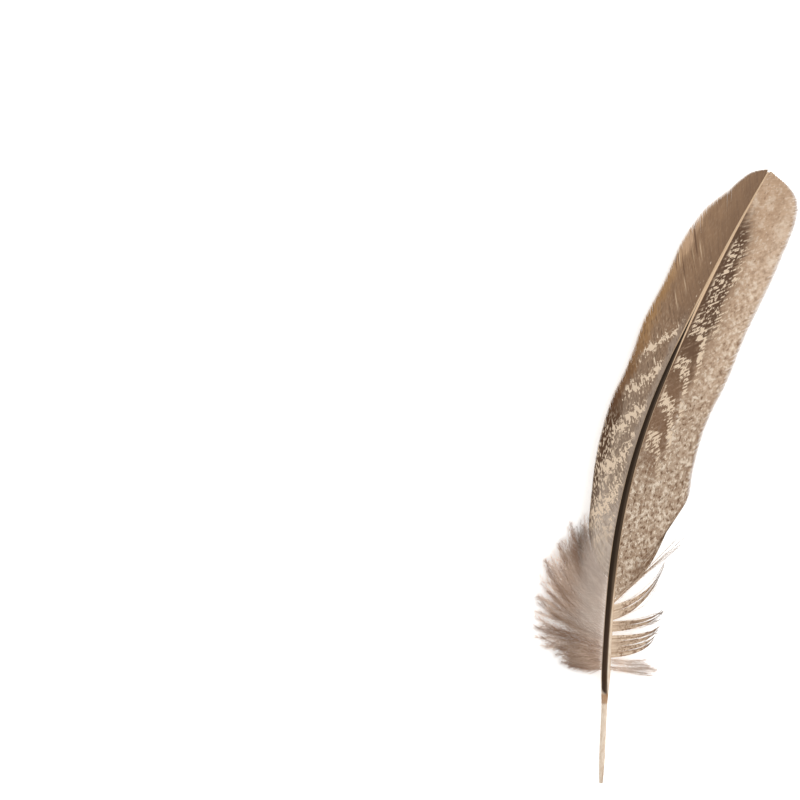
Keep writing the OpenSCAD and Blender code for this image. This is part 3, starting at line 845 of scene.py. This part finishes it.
def inner_material(name, dark, light, scale, depth, cells=False):
    """Material of a piece inside the quill or the shaft: spongy pith or dried skins."""
    g = Graph(name)
    where = g.node("ShaderNodeTexCoord").outputs["Object"]
    made = g.node("ShaderNodeTexVoronoi" if cells else "ShaderNodeTexNoise")
    g.tree.links.new(where, made.inputs["Vector"])
    made.inputs["Scale"].default_value = scale
    grain = Value(g, made.outputs[0])
    colour = g.mix(g.step(grain, 0.1, 0.8), dark, light)
    return g.finish(colour, 0.8, grain, depth)


# ---------------------------------------------------------------- pieces

def show(piece, slot, *nodes):
    """Puts a piece on the feather in place of its CAD nodes."""
    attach(piece, "root")
    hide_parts(*nodes)


def vanes():
    """Both vanes, each in four sections of lapping barbs."""
    leading, trailing = leading_vane_material(), trailing_vane_material()
    for side, rows, width, splits, slips, label, material in (
        (LEADING, LEADING_BARBS, LEADING_W, LEADING_SPLITS, LEADING_SLIPS, "leading", leading),
        (TRAILING, TRAILING_BARBS, TRAILING_W, TRAILING_SPLITS, TRAILING_SLIPS, "trailing", trailing),
    ):
        for i, section in enumerate(SECTION_NAMES):
            part = barbs_of(side, rows, width, splits[i], splits[i + 1], slips=slips)
            name = f"{label}_barbs_{section}"
            piece = closed_mesh(name, [part], material)
            show(piece, f"{label}_vane", f"{label}_web_{section}")


def tufts():
    """Bunches of half-open barbs below the trailing vane, each with a few loose strands."""
    material = tuft_material()
    for i, (rows, curl) in enumerate(zip(TUFTS, TUFT_CURLS)):
        first, last = rows[0][0], rows[1][0]
        barbs = barbs_of(
            TRAILING, rows, TRAILING_W, first, last, curl,
            spacing=0.4, fray=0.2, point=0.8, clumps=TUFT_CLUMPS[i],
        )
        loose = fluff_of(
            TRAILING, rows, TRAILING_W, first, last, rami=8, barbules=100, size=1.1,
            curl=curl, sway=0.6, thick=0.05,
        )
        piece = closed_mesh(f"tuft_{i + 1}", [barbs] + loose, material)
        show(piece, "barb_tufts", f"barb_tuft_{i + 1}")


def down():
    """Fluffy down at the foot of the leading vane, and two small wisps at the trailing one's foot."""
    material = down_material()
    for i, (section, thick, droop, curl, short) in enumerate(LEADING_DOWN):
        first, last = LEADING_DOWN_SPLITS[i], LEADING_DOWN_SPLITS[i + 1]
        parts = fluff_of(
            LEADING, LEADING_DOWN_BARBS, DOWN_W, first, last, rami=46, barbules=180, size=3.6,
            curl=curl, thick=thick, droop=droop, short=short,
        )
        piece = closed_mesh(f"down_{section}", parts, material)
        show(piece, "down", f"leading_down_{section}")
    rows = TRAILING_DOWN_BARBS
    first, last = rows[0][0], rows[1][0]
    parts = []
    for low, high in TRAILING_DOWN_STRETCHES:
        start, end = first + low * (last - first), first + high * (last - first)
        parts += fluff_of(
            TRAILING, rows, TRAILING_W, start, end, rami=10, barbules=90, size=1.5,
            curl=0.2, sway=0.3, thick=0.045, bunch=-0.6, light=0.55,
        )
    piece = closed_mesh("down_trailing", parts, material)
    show(piece, "down", "trailing_down")


def inner_pieces():
    """Gives the CAD nodes inside the shaft and the quill their materials."""
    for node, material in (
        ("shaft_pith", inner_material("pith", "#d9cdb8", "#f6efe2", 3500.0, 0.0001, cells=True)),
        ("pulp_caps", inner_material("dried_pulp", "#a98d63", "#dcc9a2", 900.0, 0.00005)),
        ("tip_plug", inner_material("dried_plug", "#6d5138", "#b0916b", 2500.0, 0.00008)),
    ):
        bpy.data.objects[node].material_slots[0].material = material


def camera():
    """Straight above, with the feather at the right of the view and its quill leaning slightly right."""
    lens = bpy.data.cameras.new("camera")
    eye = bpy.data.objects.new("camera", lens)
    bpy.context.scene.collection.objects.link(eye)
    roll = math.radians(2.0)
    # the middle of the view from the quill's top, in the view's own directions
    across, ahead = -60.4, 79.9
    eye_height, feather_height, view_width, sensor_width = 1000.0, 4.0, 235.0, 36.0
    x = TOP_X + across * math.cos(roll) - ahead * math.sin(roll)
    y = TOP_Y + across * math.sin(roll) + ahead * math.cos(roll)
    spot = Matrix.Translation((x / 1000, y / 1000, eye_height / 1000))
    eye.matrix_world = spot @ Matrix.Rotation(roll, 4, "Z")
    lens.sensor_width = sensor_width
    lens.lens = sensor_width * (eye_height - feather_height) / view_width
    bpy.context.scene.camera = eye


def studio():
    """Bright table with a faint glow of its own, an even sky and two large soft lamps."""
    scene = bpy.context.scene
    scene.view_settings.view_transform = "Standard"
    world = bpy.data.worlds.new("studio")
    world.use_nodes = True
    sky = world.node_tree.nodes["Background"]
    sky.inputs["Color"].default_value = (1.0, 0.995, 0.985, 1.0)
    sky.inputs["Strength"].default_value = 0.62
    scene.world = world
    mesh = bpy.data.meshes.new("floor")
    mesh.from_pydata([(-3, -3, 0), (3, -3, 0), (3, 3, 0), (-3, 3, 0)], [], [(0, 1, 2, 3)])
    floor = bpy.data.objects.new("floor", mesh)
    scene.collection.objects.link(floor)
    g = Graph("floor_paper")
    paper = (0.93, 0.93, 0.925, 1.0)
    mesh.materials.append(g.finish(paper, 0.9, Emission_Color=paper, Emission_Strength=0.44))
    # each lamp's place and size in m, and its power in W
    for name, spot, size, power in (
        ("key", (0.42, 0.30, 0.95), 0.8, 6.4),
        ("fill", (-0.5, -0.3, 0.9), 0.9, 1.2),
    ):
        lamp = bpy.data.lights.new(name, "AREA")
        lamp.size = size
        lamp.energy = power
        light = bpy.data.objects.new(name, lamp)
        light.location = spot
        light.rotation_euler = (-Vector(spot)).to_track_quat("-Z", "Y").to_euler()
        scene.collection.objects.link(light)


camera()
studio()
vanes()
shaft()
quill()
tufts()
down()
inner_pieces()
